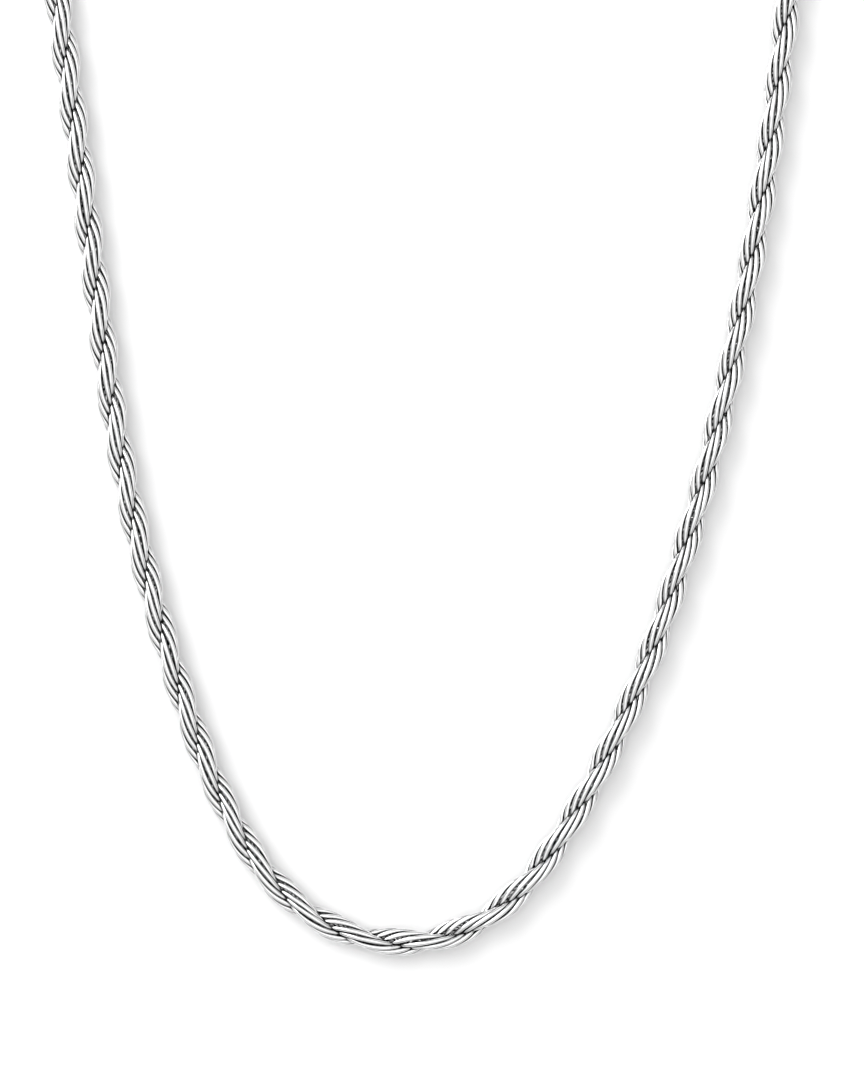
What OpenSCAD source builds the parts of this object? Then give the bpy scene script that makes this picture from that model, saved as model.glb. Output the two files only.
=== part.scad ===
// Rope chain necklace, laid flat and unfastened.
// Every oval wire ring is a solid of its own. Rings are grouped into stiff stretches, and between
// two stretches lies a short flexible stretch, across which the chain bends.
// Frame: X to the wearer's left, Y from the lowest point of the drape towards the clasp, Z up.

/* [Chain] */
// Diameter of the ring wire
wire_d = 0.46; // [0.3:0.02:0.46]
// Half length of a ring, to the middle of its wire
ring_half_length = 3.64; // [3.62:0.01:3.66]
// Half width of a ring, to the middle of its wire
ring_half_width = 1.75; // [1.7:0.01:1.78]
// Radius of the round ends of a ring, to the middle of its wire
ring_end_r = 1.3; // [1.28:0.01:1.4]
// Advance along the chain from one ring to the next
ring_pitch = 1.3; // [1.28:0.01:1.32]
// Turn about the chain's axis from one ring to the next, in degrees
ring_turn = 27.6923; // [27:0.1:28.5]
// Turn of the middle ring about the chain's axis, in degrees
ring_phase = -7.5; // [-90:0.5:90]
// Twist let out of each arm over the tight bend at the front, in degrees
front_untwist = 26.5; // [0:0.5:30]

/* [End caps and loops] */
// Outer radius of an end cap, which is also the height of the chain's axis
cap_r = 2; // [1.95:0.05:2.2]
// Wall of an end cap
cap_wall = 0.2; // [0.15:0.01:0.22]
// Distance that the last ring reaches into its cap
cap_grip = 2; // [1.6:0.1:2.1]
// Radius of the wire of the loops and jump rings
loop_wire_r = 0.3; // [0.25:0.01:0.3]
// Radius of a cap's loop and of the clasp's eye, to the middle of the wire
loop_r = 1; // [0.95:0.05:1.1]
// Radius of a jump ring, to the middle of its wire
jump_r = 1.7; // [1.6:0.05:1.7]
// Running gap between two linked loops
link_gap = 0.08; // [0.05:0.01:0.12]

/* [Clasp] */
// Thickness of the clasp's body
clasp_t = 3; // [2.6:0.1:3.2]
// Thickness of the gate lever
lever_t = 1.3; // [1:0.1:1.4]
// Radius of the gate's pivot pin
pin_r = 0.4; // [0.3:0.05:0.5]
// Running gap round the pin
pin_gap = 0.05; // [0.03:0.01:0.08]
// Radius of the round hole in the end tab
tab_bore_r = 1.65; // [1.3:0.05:1.8]
// Thickness of the end tab
tab_t = 1; // [0.8:0.1:1.2]

/* [Hidden] */
$fn = 48;
// number of flexible stretches in each arm, and rings in the middle, in the bend that lets out
// twist, and in the other stretches
arm_joints = 9;
half_front = 5;
untwist_rings = 12;
flex_rings = 6;
stiff_rings = 12;
joint_pitch = flex_rings + stiff_rings;
last_ring = half_front + arm_joints * joint_pitch;

// The drape of each arm from the lowest point: [length, turn in degrees] of one arc after another
start_slope = 3.7;
right_arcs = [[14, 36.2], [12, 22.4], [16, 8.2], [24, 8.6], [36, 6.4], [50, 5.5], [75, 12]];
left_arcs = [[14, 33.2], [12, 22], [16, 10.8], [24, 5.7], [36, 7.3], [50, -0.4], [75, 12]];
// The box of the whole necklace is centred on the frame's origin with this shift
shift = [-3.652, -110.334];

// [x, y, heading] after a distance along a run of arcs
function step_x(l, t, h, d) = l * 180 / (PI * t) * (sin(h + t * d / l) - sin(h));
function step_y(l, t, h, d) = -l * 180 / (PI * t) * (cos(h + t * d / l) - cos(h));
function along(arcs, i, d, x, y, h) =
    let (l = arcs[i][0], t = arcs[i][1], far = i == len(arcs) - 1 || d <= l, e = far ? d : l)
    let (x2 = x + step_x(l, t, h, e), y2 = y + step_y(l, t, h, e))
    far ? [x2, y2, h + t * e / l] : along(arcs, i + 1, d - l, x2, y2, h + t);
function right_at(d) = along(right_arcs, 0, d, 0, 0, -start_slope);
function left_at(d) = let (p = along(left_arcs, 0, d, 0, 0, start_slope)) [-p[0], p[1], -p[2]];
function chain_at(s) = s < 0 ? left_at(-s) : right_at(s);

// Oval ring of four tangent arcs, long axis along X, in the XY plane
side_r = (pow(ring_half_length - ring_end_r, 2) + pow(ring_half_width, 2) - pow(ring_end_r, 2))
    / (2 * (ring_half_width - ring_end_r));
end_x = ring_half_length - ring_end_r;
end_angle = atan2(side_r - ring_half_width, end_x);

module wire_arc(r, wire_r, from, to) {
    rotate([0, 0, from])
        rotate_extrude(angle = to - from) translate([r, 0]) circle(wire_r, $fn = 24);
}

// The side arcs are a hair thinner and run a little way into the end arcs, so the four parts fuse
side_thinning = 0.02;
side_lap = 0.5;
module oval_ring() {
    for (side = [0, 180]) rotate([0, 0, side]) {
        translate([end_x, 0, 0]) wire_arc(ring_end_r, wire_d / 2, -end_angle, end_angle);
        translate([0, ring_half_width - side_r, 0])
            wire_arc(side_r, wire_d / 2 - side_thinning, end_angle - side_lap, 180 - end_angle + side_lap);
    }
}

module on_chain(s) {
    p = chain_at(s);
    translate([p[0] + shift[0], p[1] + shift[1], cap_r]) rotate([0, 0, p[2]]) children();
}

function ring_roll(i) =
    ring_phase + i * ring_turn - front_untwist * max(-1, min(1, i / untwist_rings));

module rings(first, last) {
    for (i = [first : last])
        on_chain(i * ring_pitch) rotate([ring_roll(i), 0, 0]) oval_ring();
}

// The stiff stretch and the flexible stretch number k of an arm; side is 1 for right, -1 for left
module stiff_stretch(side, k) {
    first = half_front + 1 + flex_rings + (k - 1) * joint_pitch;
    last = first + stiff_rings - 1;
    color("gainsboro") rings(min(side * first, side * last), max(side * first, side * last));
}

module flex_stretch(side, k) {
    first = half_front + 1 + (k - 1) * joint_pitch;
    last = first + flex_rings - 1;
    color("gainsboro") rings(min(side * first, side * last), max(side * first, side * last));
}

// Local frame of an arm's end: X runs outward along the chain, from the mouth of the end cap
mouth_s = last_ring * ring_pitch + ring_half_length + wire_d / 2 - cap_grip;
module arm_end(side) {
    on_chain(side * mouth_s) rotate([0, 0, side < 0 ? 180 : 0]) children();
}

cap_depth = cap_grip + 0.2;
cap_length = cap_depth + 1;
loop_x = cap_length + loop_r - 0.1;
jump_x = loop_x + loop_r - 2 * loop_wire_r - link_gap + jump_r;
far_loop_x = jump_x + jump_r - 2 * loop_wire_r - link_gap + loop_r;

module wire_loop(r) {
    rotate_extrude() translate([r, 0]) circle(loop_wire_r, $fn = 32);
}

module end_cap(side) {
    color("silver") arm_end(side) {
        rotate([0, 90, 0]) rotate_extrude() polygon([
            [cap_r - cap_wall, 0], [cap_r, 0], [cap_r, cap_depth], [0.9, cap_length], [0, cap_length],
            [0, cap_depth + 0.4], [0.8, cap_depth + 0.4], [cap_r - cap_wall, cap_depth - 0.1]
        ]);
        translate([loop_x, 0, 0]) wire_loop(loop_r);
    }
}

module jump_ring(side) {
    color("silver") arm_end(side) translate([jump_x, 0, 0]) rotate([90, 0, 0]) wire_loop(jump_r);
}

// Flat outline of two circles joined by straight sides, which run just inside their tangents
module taper(x1, r1, x2, r2) {
    s = (r1 - r2) / (x2 - x1);
    c = 0.985 * sqrt(1 - s * s);
    union() {
        translate([x1, 0]) circle(r1);
        translate([x2, 0]) circle(r2);
        polygon([
            [x1 + r1 * s, -r1 * c], [x2 + r2 * s, -r2 * c],
            [x2 + r2 * s, r2 * c], [x1 + r1 * s, r1 * c]
        ]);
    }
}

// Lobster clasp. Its local X starts at the middle of the eye
pivot = [4.4, 1.2];
hook_x = 9.4;
gate_end = 9.7;
lever_gap = 0.1;

module on_clasp() {
    arm_end(-1) translate([far_loop_x, 0, 0]) children();
}

module clasp_outline() {
    difference() {
        union() {
            taper(2.3, 1.4, 5.4, 2.9);
            taper(5.4, 2.9, hook_x, 2.5);
        }
        taper(6.4, 1.3, hook_x - 0.1, 1.3);
        translate([6.3, 0]) square([gate_end - 6.3, 4]);
    }
}

module clasp_body() {
    slot_t = lever_t + 2 * lever_gap;
    color("silver") on_clasp() {
        difference() {
            linear_extrude(clasp_t, center = true) clasp_outline();
            translate([3, -0.9, -slot_t / 2]) cube([4, 5, slot_t]);
            translate([pivot[0], pivot[1], -clasp_t]) cylinder(h = 2 * clasp_t, r = pin_r);
        }
        wire_loop(loop_r);
    }
}

module clasp_lever() {
    reach = gate_end - lever_gap - 0.45 - pivot[0];
    tilt = 4;
    color("silver") on_clasp() translate([pivot[0], pivot[1], 0]) difference() {
        linear_extrude(lever_t, center = true) rotate(tilt) union() {
            taper(0, 1.05, reach, 0.45);
            translate([2.9, 0]) rotate(70) taper(0, 0.5, 1.7, 0.35);
        }
        cylinder(h = 2 * clasp_t, r = pin_r + pin_gap, center = true);
    }
}

module clasp_pin() {
    color("gray") on_clasp() translate([pivot[0], pivot[1], 0])
        cylinder(h = clasp_t, r = pin_r, center = true);
}

// Leaf spring bent over the floor of the lever's slot, pushing the gate shut from below
module clasp_spring() {
    bend_r = 0.45;
    leaf_t = 0.12;
    color("darkgray") on_clasp() translate([3.6, -0.9 + bend_r + leaf_t / 2 + 0.02, 0]) {
        rotate([0, 0, 100]) rotate_extrude(angle = 170)
            translate([bend_r, 0]) square([leaf_t, lever_t - 0.3], center = true);
        translate([0, -bend_r - leaf_t / 2, -(lever_t - 0.3) / 2]) cube([2.2, leaf_t, lever_t - 0.3]);
    }
}

// Flat stamped tab that the clasp hooks into
tab_ring_r = tab_bore_r + 0.8;
tab_bore_x = 4.2;
module end_tab() {
    color("silver") arm_end(1) translate([far_loop_x, 0, 0]) difference() {
        linear_extrude(tab_t, center = true) taper(0, loop_r + loop_wire_r, tab_bore_x, tab_ring_r);
        cylinder(h = 2 * tab_t, r = loop_r - loop_wire_r, center = true);
        translate([tab_bore_x, 0, 0]) cylinder(h = 2 * tab_t, r = tab_bore_r, center = true);
    }
}

color("gainsboro") rings(-half_front, half_front);  // links_front
for (k = [1 : arm_joints]) {
    flex_stretch(-1, k);
    stiff_stretch(-1, k);
    flex_stretch(1, k);
    stiff_stretch(1, k);
}
end_cap(-1);  // end_cap_left
end_cap(1);  // end_cap_right
jump_ring(-1);  // jump_ring_left
jump_ring(1);  // jump_ring_right
clasp_body();
clasp_lever();
clasp_pin();
clasp_spring();
end_tab();
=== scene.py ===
"""Looks of the rope chain necklace: solid wire rings, rounded findings, polished silver, a white table."""
import math
import random

import bmesh
import bpy
from mathutils import Matrix, Vector


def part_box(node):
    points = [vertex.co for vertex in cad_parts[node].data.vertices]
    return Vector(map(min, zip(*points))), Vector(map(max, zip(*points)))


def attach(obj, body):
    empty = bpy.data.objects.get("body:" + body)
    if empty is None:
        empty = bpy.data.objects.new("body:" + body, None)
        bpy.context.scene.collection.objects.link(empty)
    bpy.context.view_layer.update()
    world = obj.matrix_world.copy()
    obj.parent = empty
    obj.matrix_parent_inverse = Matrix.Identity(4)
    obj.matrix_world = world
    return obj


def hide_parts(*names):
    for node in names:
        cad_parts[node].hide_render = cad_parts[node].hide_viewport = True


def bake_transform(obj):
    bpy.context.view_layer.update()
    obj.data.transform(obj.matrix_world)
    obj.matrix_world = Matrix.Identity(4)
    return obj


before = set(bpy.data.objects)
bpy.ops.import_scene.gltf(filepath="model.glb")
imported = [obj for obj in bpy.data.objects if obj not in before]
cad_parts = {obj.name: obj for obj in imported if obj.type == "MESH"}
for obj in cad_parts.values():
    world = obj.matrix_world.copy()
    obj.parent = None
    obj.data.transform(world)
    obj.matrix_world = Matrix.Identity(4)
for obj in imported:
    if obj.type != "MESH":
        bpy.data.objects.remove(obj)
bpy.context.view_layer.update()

MM = 0.001

# ---------------------------------------------------------------- the rings and their course, as in the CAD
RING_PITCH = 1.3 * MM
RING_TURN = math.radians(27.6923)
RING_PHASE = math.radians(-7.5)
# The twist let out of each arm over the bend, and the rings that it is spread over
FRONT_UNTWIST, UNTWIST_RINGS = math.radians(26.5), 12
# The front has five rings on each side of ring 0, then each arm has a flexible and a stiff stretch per joint
ARM_JOINTS, HALF_FRONT, FLEX_RINGS, STIFF_RINGS = 9, 5, 6, 12
JOINT_PITCH = FLEX_RINGS + STIFF_RINGS
AXIS_HEIGHT = 2.0 * MM
# The chain's slope at ring 0, and each arm's arcs from there: a length in mm and a turn in degrees
START_SLOPE = 3.7
RIGHT_ARCS = [[14, 36.2], [12, 22.4], [16, 8.2], [24, 8.6], [36, 6.4], [50, 5.5], [75, 12]]
LEFT_ARCS = [[14, 33.2], [12, 22], [16, 10.8], [24, 5.7], [36, 7.3], [50, -0.4], [75, 12]]
# Where ring 0 lies, so that the box of the whole necklace is centred on the frame's origin
SHIFT = (-3.652 * MM, -110.334 * MM)

# ---------------------------------------------------------------- ring wire, its settling, and the findings
WIRE_R = 0.33 * MM
# The oval that the middle of a ring's wire follows
HALF_LENGTH, HALF_WIDTH, END_R = 4.0 * MM, 1.74 * MM, 0.8 * MM
# Mesh sides around the wire, and steps along a ring
AROUND, ALONG = 14, 72
# The most that a ring settles off its even place, and the seed of ring 0
SLIP, ROLL, TILT = 0.12 * MM, math.radians(3), math.radians(1.5)
SEED = 1000
# The grid that a finding's mesh is rounded on
VOXEL = 0.06 * MM
# The clasp's thin eye, and the further rounding of the body above it
EYE_LENGTH, DOME_STEP, DOME_ROUNDS = 2.4 * MM, 0.02 * MM, 36

# ---------------------------------------------------------------- the silver's surface
SCRATCH_DEPTH = 0.02 * MM
CLOUD_SCALE, SCRATCH_SCALE = 900.0, 9000.0
# How far the painted gap shade reaches, the openness where it is darkest and where it ends, and how dark it
# is: shade painted into the silver's colour where wires close in on each other
GAP_REACH, GAP_DARK, GAP_OPEN, GAP_SHADE_TONE = 0.6 * MM, 0.62, 0.88, 0.005

# ---------------------------------------------------------------- studio
VIEW_CENTRE = Vector((SHIFT[0] + 5.69 * MM, SHIFT[1] + 58.26 * MM, AXIS_HEIGHT))
VIEW_HEIGHT = 156.6 * MM
CAMERA_DISTANCE = 0.85
SENSOR_HEIGHT = 24
TABLE_HEIGHT, TABLE_HALF_SIZE = -0.08 * MM, 3.0
TABLE_GREY, TABLE_ROUGHNESS, TABLE_GLOW = 0.94, 0.9, 0.02
# The surround's brightness at and under the horizon, then by height: a dark band, and white overhead
HORIZON = 0.85
SURROUND = ((0.05, HORIZON), (0.08, 0.0), (0.2, 0.0), (0.42, 0.6), (0.65, 0.95), (1.0, 1.0))
# Each softbox's name, its place from the view's centre in metres, its side and its watts
SOFTBOXES = (("key", (-0.62, 0.5, 0.5), 0.75, 6.5), ("top", (0.0, 0.1, 1.3), 1.8, 3))


# ---------------------------------------------------------------- the chain's course
def along(arcs, slope, distance):
    """x, y and heading after a distance along a run of arcs, each a length in mm and a turn in degrees."""
    x = y = 0.0
    heading = math.radians(slope)
    for n, (length, turn) in enumerate(arcs):
        length, turn = length * MM, math.radians(turn)
        part = distance if n == len(arcs) - 1 else min(distance, length)
        radius, after = length / turn, heading + turn * part / length
        x += radius * (math.sin(after) - math.sin(heading))
        y -= radius * (math.cos(after) - math.cos(heading))
        heading = after
        distance -= part
        if distance <= 0:
            break
    return x, y, heading


def chain_at(s):
    """The chain's axis at arc length s from ring 0, right arm positive, as a matrix with X along it."""
    if s < 0:
        x, y, heading = along(LEFT_ARCS, START_SLOPE, -s)
        x, heading = -x, -heading
    else:
        x, y, heading = along(RIGHT_ARCS, -START_SLOPE, s)
    place = Matrix.Translation((x + SHIFT[0], y + SHIFT[1], AXIS_HEIGHT))
    return place @ Matrix.Rotation(heading, 4, "Z")


def ring_place(i):
    """Where ring i lies, with the small slip, roll and tilt that loose rings settle with."""
    settle = random.Random(i + SEED)
    slip, roll, tilt = (settle.uniform(-most, most) for most in (SLIP, ROLL, TILT))
    even_turn = RING_PHASE + i * RING_TURN - FRONT_UNTWIST * max(-1, min(1, i / UNTWIST_RINGS))
    place = chain_at(i * RING_PITCH + slip) @ Matrix.Rotation(tilt, 4, "Y")
    return place @ Matrix.Rotation(even_turn + roll, 4, "X")


def axis_point(number):
    """The point on the chain's axis at a ring's number, which is a half between two rings."""
    return tuple(chain_at(number * RING_PITCH).translation)


# ---------------------------------------------------------------- materials
def new_material(name):
    material = bpy.data.materials.new(name)
    material.use_nodes = True
    return material, material.node_tree.nodes["Principled BSDF"]


def add(nodes, kind, **values):
    """A shader node with its properties, and its inputs by name, set."""
    node = nodes.new(kind)
    for key, value in values.items():
        if key in node.inputs:
            node.inputs[key].default_value = value
        else:
            setattr(node, key, value)
    return node


def polished_silver(name, colour, rough, scratch):
    """Polished silver: fine scratches, soft changes of roughness, and painted shade that darkens its colour
    in the gaps.
    """
    material, shader = new_material(name)
    nodes, links = material.node_tree.nodes, material.node_tree.links
    shader.inputs["Metallic"].default_value = 1.0
    place = add(nodes, "ShaderNodeTexCoord")
    cloud = add(nodes, "ShaderNodeTexNoise", Scale=CLOUD_SCALE, Detail=3.0)
    fine = add(nodes, "ShaderNodeTexNoise", Scale=SCRATCH_SCALE, Detail=2.0)
    for texture in (cloud, fine):
        links.new(place.outputs["Object"], texture.inputs["Vector"])
    spread = add(nodes, "ShaderNodeMapRange")
    spread.inputs["To Min"].default_value = rough * 0.7
    spread.inputs["To Max"].default_value = rough * 1.5
    links.new(cloud.outputs["Fac"], spread.inputs["Value"])
    links.new(spread.outputs["Result"], shader.inputs["Roughness"])
    bump = add(nodes, "ShaderNodeBump", Strength=scratch, Distance=SCRATCH_DEPTH)
    links.new(fine.outputs["Fac"], bump.inputs["Height"])
    links.new(bump.outputs["Normal"], shader.inputs["Normal"])
    # Painted shade: the base colour goes to near black where the occlusion node finds the surface closed in
    # by nearby wire
    gap = add(nodes, "ShaderNodeAmbientOcclusion", Distance=GAP_REACH, samples=8)
    painted_shade = add(nodes, "ShaderNodeValToRGB")
    deep, outside = painted_shade.color_ramp.elements
    deep.position = GAP_DARK
    deep.color = (colour * GAP_SHADE_TONE, colour * GAP_SHADE_TONE, colour * GAP_SHADE_TONE * 1.2, 1)
    outside.position = GAP_OPEN
    outside.color = (colour, colour, colour * 1.005, 1)
    links.new(gap.outputs["AO"], painted_shade.inputs["Fac"])
    links.new(painted_shade.outputs["Color"], shader.inputs["Base Color"])
    return material


silver_wire = polished_silver("silver_wire", colour=0.88, rough=0.07, scratch=0.06)
silver_cast = polished_silver("silver_cast", colour=0.82, rough=0.1, scratch=0.1)
spring_steel = polished_silver("spring_steel", colour=0.55, rough=0.25, scratch=0.5)


# ---------------------------------------------------------------- wire rings
def oval_points(count):
    """Points and outward normals of the ring's four tangent arcs, evenly spaced, in the XY plane."""
    side_r = ((HALF_LENGTH - END_R) ** 2 + HALF_WIDTH ** 2 - END_R ** 2) / (2 * (HALF_WIDTH - END_R))
    end_x = HALF_LENGTH - END_R
    end_angle = math.atan2(side_r - HALF_WIDTH, end_x)
    side_span = math.pi - 2 * end_angle
    arcs = [
        (end_x, 0, END_R, -end_angle, 2 * end_angle),
        (0, HALF_WIDTH - side_r, side_r, end_angle, side_span),
        (-end_x, 0, END_R, math.pi - end_angle, 2 * end_angle),
        (0, side_r - HALF_WIDTH, side_r, math.pi + end_angle, side_span),
    ]
    whole = sum(r * span for _, _, r, _, span in arcs)
    points = []
    for n in range(count):
        s = whole * n / count
        for x, y, r, start, span in arcs:
            if s <= r * span:
                a = start + s / r
                points.append((Vector((x + r * math.cos(a), y + r * math.sin(a), 0)),
                               Vector((math.cos(a), math.sin(a), 0))))
                break
            s -= r * span
    return points


RING_POINTS = oval_points(ALONG)


def add_ring(bm, place):
    """One closed ring of round wire."""
    rows = []
    for centre, out in RING_POINTS:
        row = []
        for k in range(AROUND):
            a = 2 * math.pi * k / AROUND
            offset = out * math.cos(a) + Vector((0, 0, math.sin(a)))
            row.append(bm.verts.new(place @ (centre + offset * WIRE_R)))
        rows.append(row)
    for i, row in enumerate(rows):
        after = rows[(i + 1) % len(rows)]
        for k in range(AROUND):
            bm.faces.new((row[k], after[k], after[(k + 1) % AROUND], row[(k + 1) % AROUND])).smooth = True


def mesh_object(name, bm):
    """A new object in the scene from a bmesh, which is freed."""
    mesh = bpy.data.meshes.new(name)
    bm.to_mesh(mesh)
    bm.free()
    obj = bpy.data.objects.new(name, mesh)
    bpy.context.collection.objects.link(obj)
    return obj


def ring_piece(name, numbers):
    """The rings of one stretch of the chain, as one piece."""
    bm = bmesh.new()
    for i in numbers:
        add_ring(bm, ring_place(i))
    bmesh.ops.recalc_face_normals(bm, faces=bm.faces)
    piece = mesh_object(name, bm)
    piece.data.materials.append(silver_wire)
    return piece


front = ring_piece("front_rings", range(-HALF_FRONT, HALF_FRONT + 1))
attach(front, "front")
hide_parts("links_front")
for arm, side in (("left", -1), ("right", 1)):
    for k in range(1, ARM_JOINTS + 1):
        body = f"{arm}_{k}"
        first = HALF_FRONT + 1 + (k - 1) * JOINT_PITCH
        flex = ring_piece(f"{arm}_flex_rings_{k}", [side * i for i in range(first, first + FLEX_RINGS)])
        axis_point(side * (first - 0.5))
        axis_point(side * (first + FLEX_RINGS - 0.5))
        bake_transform(flex)
        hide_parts(f"{arm}_flex_{k}")
        start = first + FLEX_RINGS
        stiff = ring_piece(f"{arm}_rings_{k}", [side * i for i in range(start, start + STIFF_RINGS)])
        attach(stiff, body)
        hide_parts(f"{arm}_links_{k}")


# ---------------------------------------------------------------- findings, rounded from the CAD solids
def rounded(node, rounds):
    """A copy of a node's mesh in cast silver, with its edges worn round."""
    name = f"{node}_polished"
    piece = bpy.data.objects.new(name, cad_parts[node].data.copy())
    bpy.context.collection.objects.link(piece)
    remesh = piece.modifiers.new("remesh", "REMESH")
    remesh.mode = "VOXEL"
    remesh.voxel_size = VOXEL
    remesh.use_smooth_shade = True
    soften = piece.modifiers.new("soften", "SMOOTH")
    soften.factor = 0.5
    soften.iterations = rounds
    depsgraph = bpy.context.evaluated_depsgraph_get()
    mesh = bpy.data.meshes.new_from_object(piece.evaluated_get(depsgraph))
    piece.modifiers.clear()
    piece.data = mesh
    mesh.name = name
    mesh.materials.clear()
    mesh.materials.append(silver_cast)
    for polygon in mesh.polygons:
        polygon.use_smooth = True
    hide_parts(node)
    return piece


def dome(piece, start):
    """Wears a piece rounder still, the more the further it is past a place on Y."""
    bm = bmesh.new()
    bm.from_mesh(piece.data)
    for n in range(DOME_ROUNDS):
        worn = [v for v in bm.verts if v.co.y > start + n * DOME_STEP]
        bmesh.ops.smooth_vert(bm, verts=worn, factor=0.5,
                              use_axis_x=True, use_axis_y=True, use_axis_z=True)
    bm.to_mesh(piece.data)
    bm.free()


# Each finding's node, the body that it rides on and its rounds of softening
for node, body, rounds in (
    ("end_cap_left", "left_9", 4), ("end_cap_right", "right_9", 4), ("clasp_body", "clasp", 4),
    ("clasp_lever", "clasp_gate", 10), ("end_tab", "end_tab", 8),
):
    piece = rounded(node, rounds)
    if node == "clasp_body":
        dome(piece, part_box(node)[0][1] + EYE_LENGTH)
    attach(piece, body)
# The small parts that keep their CAD mesh
for node, material in (
    ("jump_ring_left", silver_cast), ("jump_ring_right", silver_cast),
    ("clasp_pin", spring_steel), ("clasp_spring", spring_steel),
):
    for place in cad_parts[node].material_slots:
        place.material = material


# ---------------------------------------------------------------- table, surround, lights and camera
def lay_table():
    bm = bmesh.new()
    bmesh.ops.create_grid(bm, x_segments=2, y_segments=2, size=TABLE_HALF_SIZE)
    floor = mesh_object("table", bm)
    floor.location.z = TABLE_HEIGHT
    material, shader = new_material("white_table")
    shader.inputs["Base Color"].default_value = (TABLE_GREY, TABLE_GREY, TABLE_GREY, 1)
    shader.inputs["Roughness"].default_value = TABLE_ROUGHNESS
    shader.inputs["Emission Color"].default_value = (1, 1, 1, 1)
    shader.inputs["Emission Strength"].default_value = TABLE_GLOW
    floor.data.materials.append(material)


def hang_surround():
    world = bpy.data.worlds.new("studio")
    bpy.context.scene.world = world
    world.use_nodes = True
    nodes, links = world.node_tree.nodes, world.node_tree.links
    direction = add(nodes, "ShaderNodeTexCoord")
    split = add(nodes, "ShaderNodeSeparateXYZ")
    studio = add(nodes, "ShaderNodeValToRGB")
    ramp = studio.color_ramp.elements
    ramp.remove(ramp[1])
    ramp[0].color = (HORIZON, HORIZON, HORIZON, 1)
    for height, level in SURROUND:
        ramp.new(height).color = (level, level, level, 1)
    links.new(direction.outputs["Generated"], split.inputs["Vector"])
    links.new(split.outputs["Z"], studio.inputs["Fac"])
    links.new(studio.outputs["Color"], nodes["Background"].inputs["Color"])


def softbox(name, offset, size, watts):
    """A square area light that faces the view's centre."""
    light = bpy.data.lights.new(name, "AREA")
    light.shape = "SQUARE"
    light.size = size
    light.energy = watts
    lamp = bpy.data.objects.new(name, light)
    bpy.context.collection.objects.link(lamp)
    lamp.location = VIEW_CENTRE + Vector(offset)
    lamp.rotation_euler = (-Vector(offset)).to_track_quat("-Z", "Y").to_euler()


def set_camera():
    """A camera straight above the view's centre that takes in the view's height at the chain."""
    data = bpy.data.cameras.new("camera")
    data.sensor_fit = "VERTICAL"
    data.sensor_height = SENSOR_HEIGHT
    data.lens = SENSOR_HEIGHT * CAMERA_DISTANCE / VIEW_HEIGHT
    camera = bpy.data.objects.new("camera", data)
    bpy.context.collection.objects.link(camera)
    camera.location = VIEW_CENTRE + Vector((0, 0, CAMERA_DISTANCE))
    bpy.context.scene.camera = camera


lay_table()
hang_surround()
for box in SOFTBOXES:
    softbox(*box)
set_camera()
bpy.context.scene.view_settings.view_transform = "Standard"
